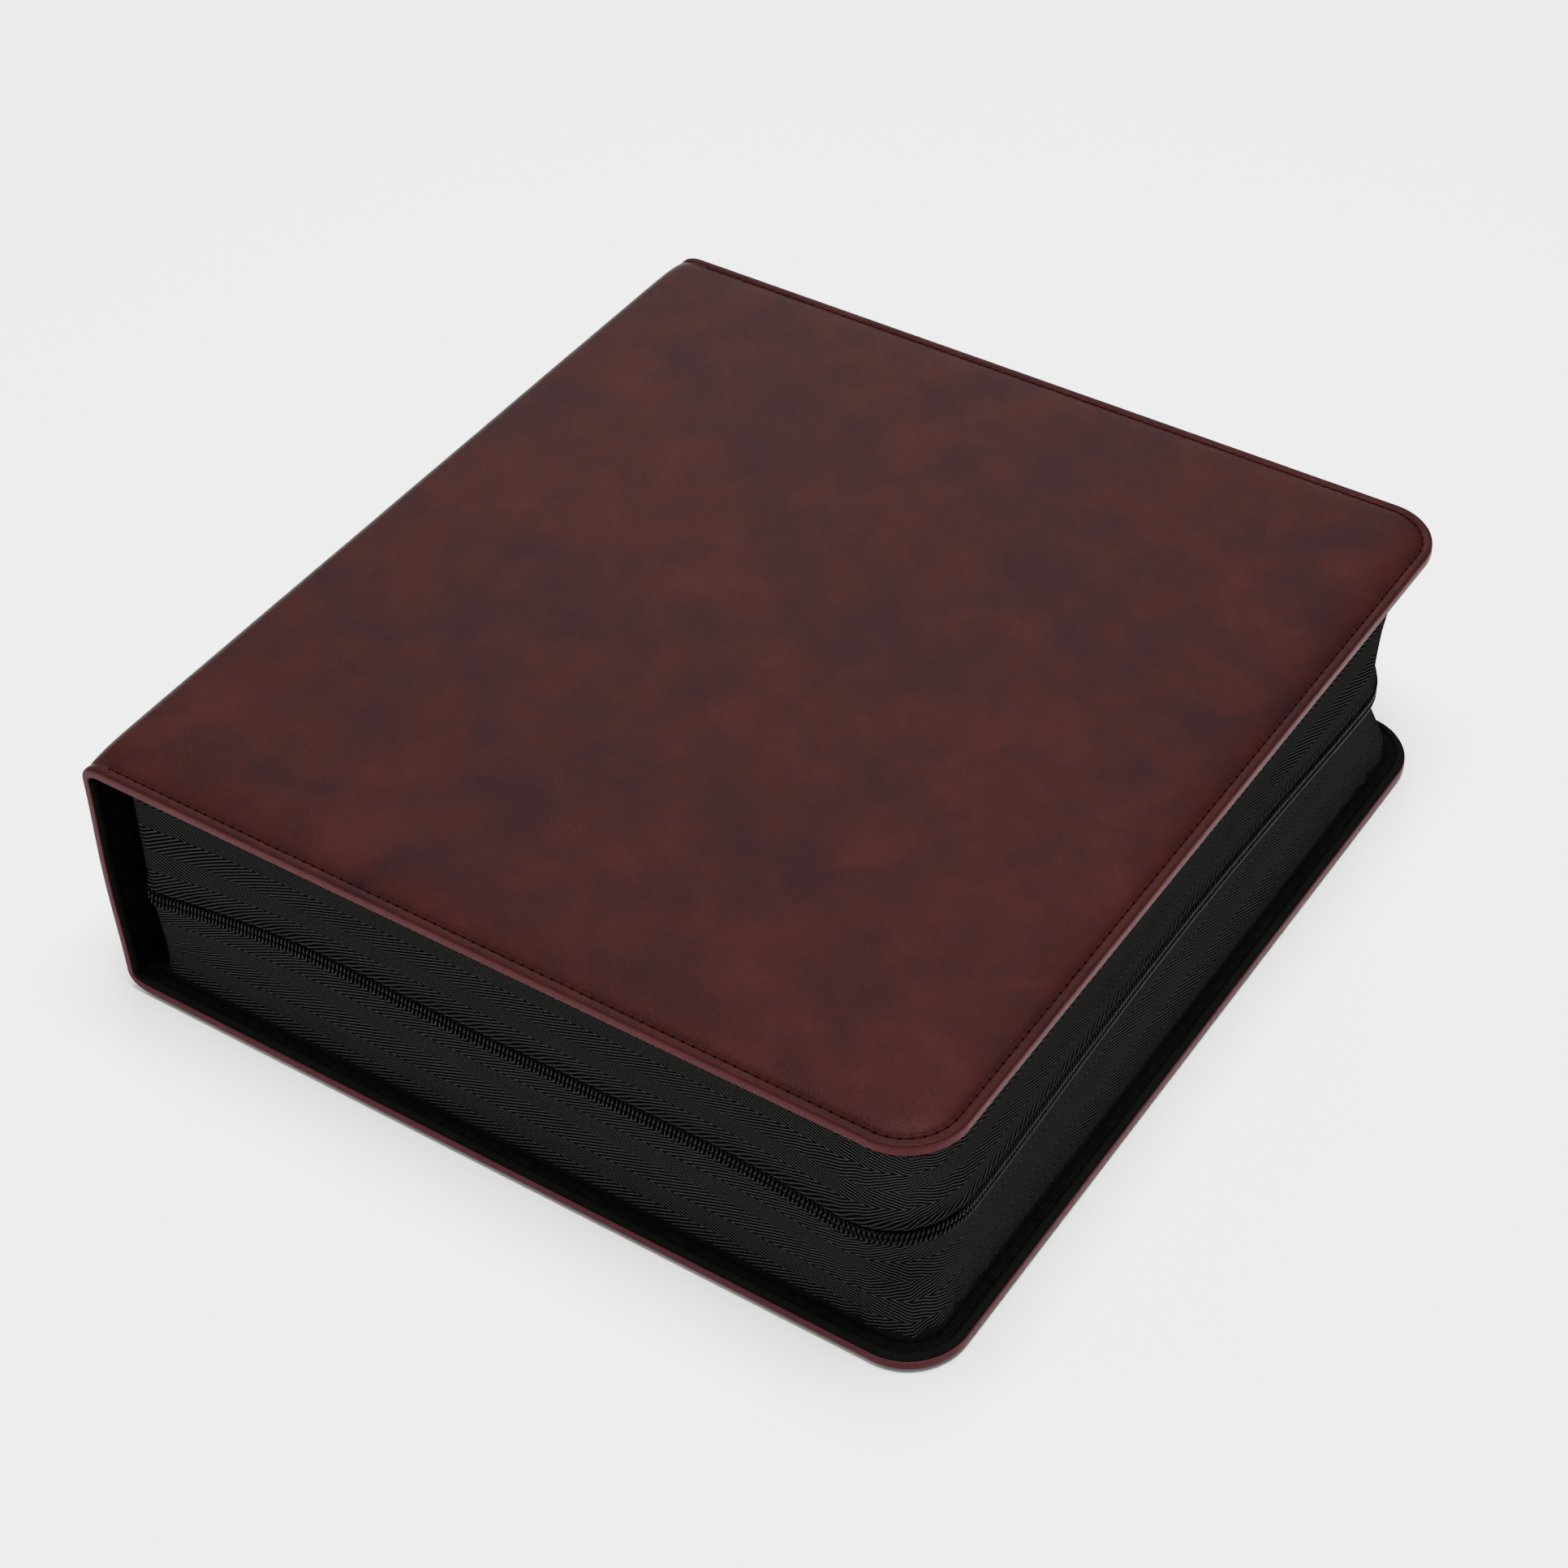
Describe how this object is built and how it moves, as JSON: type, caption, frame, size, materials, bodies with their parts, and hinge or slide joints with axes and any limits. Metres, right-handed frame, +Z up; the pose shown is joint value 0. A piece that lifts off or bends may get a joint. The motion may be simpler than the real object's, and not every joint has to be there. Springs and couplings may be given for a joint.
{
  "type": "trading card binder",
  "caption": "Padded leather-look album with a zip gusset round three sides and clear side-loading pocket leaves hinged to a folding spine, closed and lying flat.",
  "frame": {"origin": "on the surface the closed binder lies on, under the middle of its box", "axes": "+X from the spine to the fore edge, +Y along the spine, +Z up through the front cover"},
  "size_m": [0.339, 0.361, 0.113],
  "materials": {
    "leather": "semi-gloss, fine grain",
    "spine_leather": "semi-gloss, fine grain",
    "foam": "soft foam sheet",
    "board": "matte",
    "lining": "matte twill",
    "binding": "ribbed tape",
    "gusset": "herringbone weave",
    "zipper_tape": "woven tape",
    "zipper_teeth": "glossy coil",
    "leaf_core": "matte sheet",
    "pocket_film": "clear flexible film",
    "slider": "gloss black",
    "pull": "gloss black"
  },
  "bodies": {
    "root": {"back_leather": "leather", "back_foam": "foam", "back_board": "board", "back_lining": "lining", "back_edge_binding": "binding", "back_seam_binding": "binding", "lower_gusset": "gusset", "lower_zipper_tape": "zipper_tape", "lower_zipper_teeth": "zipper_teeth"},
    "spine": {"spine_leather": "spine_leather", "spine_board": "board", "spine_lining": "lining", "spine_edge_binding": "binding", "leaf_mount_panel": "leaf_core", "leaf_mount_tabs": "leaf_core"},
    "front_cover": {"front_leather": "leather", "front_foam": "foam", "front_board": "board", "front_lining": "lining", "front_edge_binding": "binding", "front_seam_binding": "binding", "upper_gusset": "gusset", "upper_zipper_tape": "zipper_tape", "upper_zipper_teeth": "zipper_teeth"},
    "leaf_01": {"leaf_01_core": "leaf_core", "leaf_01_pockets": "pocket_film"},
    "leaf_02": {"leaf_02_core": "leaf_core", "leaf_02_pockets": "pocket_film"},
    "leaf_03": {"leaf_03_core": "leaf_core", "leaf_03_pockets": "pocket_film"},
    "leaf_04": {"leaf_04_core": "leaf_core", "leaf_04_pockets": "pocket_film"},
    "leaf_05": {"leaf_05_core": "leaf_core", "leaf_05_pockets": "pocket_film"},
    "leaf_06": {"leaf_06_core": "leaf_core", "leaf_06_pockets": "pocket_film"},
    "leaf_07": {"leaf_07_core": "leaf_core", "leaf_07_pockets": "pocket_film"},
    "leaf_08": {"leaf_08_core": "leaf_core", "leaf_08_pockets": "pocket_film"},
    "leaf_09": {"leaf_09_core": "leaf_core", "leaf_09_pockets": "pocket_film"},
    "leaf_10": {"leaf_10_core": "leaf_core", "leaf_10_pockets": "pocket_film"},
    "leaf_11": {"leaf_11_core": "leaf_core", "leaf_11_pockets": "pocket_film"},
    "leaf_12": {"leaf_12_core": "leaf_core", "leaf_12_pockets": "pocket_film"},
    "leaf_13": {"leaf_13_core": "leaf_core", "leaf_13_pockets": "pocket_film"},
    "leaf_14": {"leaf_14_core": "leaf_core", "leaf_14_pockets": "pocket_film"},
    "slider": {"zipper_slider": "slider"},
    "pull": {"zipper_pull": "pull"}
  },
  "joints": [
    {"name": "spine_fold", "type": "hinge", "parent": "root", "child": "spine", "pos_m": [-0.1678, 0, 0.0017], "axis": [0, -1, 0], "range_deg": [0, 90]},
    {"name": "cover_open", "type": "hinge", "parent": "spine", "child": "front_cover", "pos_m": [-0.1678, 0, 0.1113], "axis": [0, -1, 0], "range_deg": [0, 90]},
    {"name": "leaf_01_turn", "type": "hinge", "parent": "spine", "child": "leaf_01", "pos_m": [-0.1585, 0, 0.01165], "axis": [0, -1, 0], "range_deg": [-86, 0]},
    {"name": "leaf_02_turn", "type": "hinge", "parent": "spine", "child": "leaf_02", "pos_m": [-0.1585, 0, 0.01855], "axis": [0, -1, 0], "range_deg": [-82, 0]},
    {"name": "leaf_03_turn", "type": "hinge", "parent": "spine", "child": "leaf_03", "pos_m": [-0.1585, 0, 0.02545], "axis": [0, -1, 0], "range_deg": [-78, 0]},
    {"name": "leaf_04_turn", "type": "hinge", "parent": "spine", "child": "leaf_04", "pos_m": [-0.1585, 0, 0.03235], "axis": [0, -1, 0], "range_deg": [-74, 0]},
    {"name": "leaf_05_turn", "type": "hinge", "parent": "spine", "child": "leaf_05", "pos_m": [-0.1585, 0, 0.03925], "axis": [0, -1, 0], "range_deg": [-70, 0]},
    {"name": "leaf_06_turn", "type": "hinge", "parent": "spine", "child": "leaf_06", "pos_m": [-0.1585, 0, 0.04615], "axis": [0, -1, 0], "range_deg": [-66, 0]},
    {"name": "leaf_07_turn", "type": "hinge", "parent": "spine", "child": "leaf_07", "pos_m": [-0.1585, 0, 0.05305], "axis": [0, -1, 0], "range_deg": [-62, 0]},
    {"name": "leaf_08_turn", "type": "hinge", "parent": "spine", "child": "leaf_08", "pos_m": [-0.1585, 0, 0.05995], "axis": [0, -1, 0], "range_deg": [0, 62]},
    {"name": "leaf_09_turn", "type": "hinge", "parent": "spine", "child": "leaf_09", "pos_m": [-0.1585, 0, 0.06685], "axis": [0, -1, 0], "range_deg": [0, 66]},
    {"name": "leaf_10_turn", "type": "hinge", "parent": "spine", "child": "leaf_10", "pos_m": [-0.1585, 0, 0.07375], "axis": [0, -1, 0], "range_deg": [0, 70]},
    {"name": "leaf_11_turn", "type": "hinge", "parent": "spine", "child": "leaf_11", "pos_m": [-0.1585, 0, 0.08065], "axis": [0, -1, 0], "range_deg": [0, 74]},
    {"name": "leaf_12_turn", "type": "hinge", "parent": "spine", "child": "leaf_12", "pos_m": [-0.1585, 0, 0.08755], "axis": [0, -1, 0], "range_deg": [0, 78]},
    {"name": "leaf_13_turn", "type": "hinge", "parent": "spine", "child": "leaf_13", "pos_m": [-0.1585, 0, 0.09445], "axis": [0, -1, 0], "range_deg": [0, 82]},
    {"name": "leaf_14_turn", "type": "hinge", "parent": "spine", "child": "leaf_14", "pos_m": [-0.1585, 0, 0.10135], "axis": [0, -1, 0], "range_deg": [0, 86]},
    {"name": "zip_slide", "type": "slide", "parent": "root", "child": "slider", "axis": [1, 0, 0], "range_m": [0, 0.23]},
    {"name": "pull_swing", "type": "hinge", "parent": "slider", "child": "pull", "pos_m": [-0.13535, 0.17505, 0.0538], "axis": [0, 0, 1], "range_deg": [0, 170]}
  ],
  "couplings": [
    {"joint": "cover_open", "follows": "spine_fold", "ratio": 1},
    {"joint": "leaf_01_turn", "follows": "spine_fold", "ratio": -0.9555},
    {"joint": "leaf_02_turn", "follows": "spine_fold", "ratio": -0.9111},
    {"joint": "leaf_03_turn", "follows": "spine_fold", "ratio": -0.8666},
    {"joint": "leaf_04_turn", "follows": "spine_fold", "ratio": -0.8222},
    {"joint": "leaf_05_turn", "follows": "spine_fold", "ratio": -0.7777},
    {"joint": "leaf_06_turn", "follows": "spine_fold", "ratio": -0.7333},
    {"joint": "leaf_07_turn", "follows": "spine_fold", "ratio": -0.6888},
    {"joint": "leaf_08_turn", "follows": "spine_fold", "ratio": 0.6888},
    {"joint": "leaf_09_turn", "follows": "spine_fold", "ratio": 0.7333},
    {"joint": "leaf_10_turn", "follows": "spine_fold", "ratio": 0.7777},
    {"joint": "leaf_11_turn", "follows": "spine_fold", "ratio": 0.8222},
    {"joint": "leaf_12_turn", "follows": "spine_fold", "ratio": 0.8666},
    {"joint": "leaf_13_turn", "follows": "spine_fold", "ratio": 0.9111},
    {"joint": "leaf_14_turn", "follows": "spine_fold", "ratio": 0.9555}
  ]
}
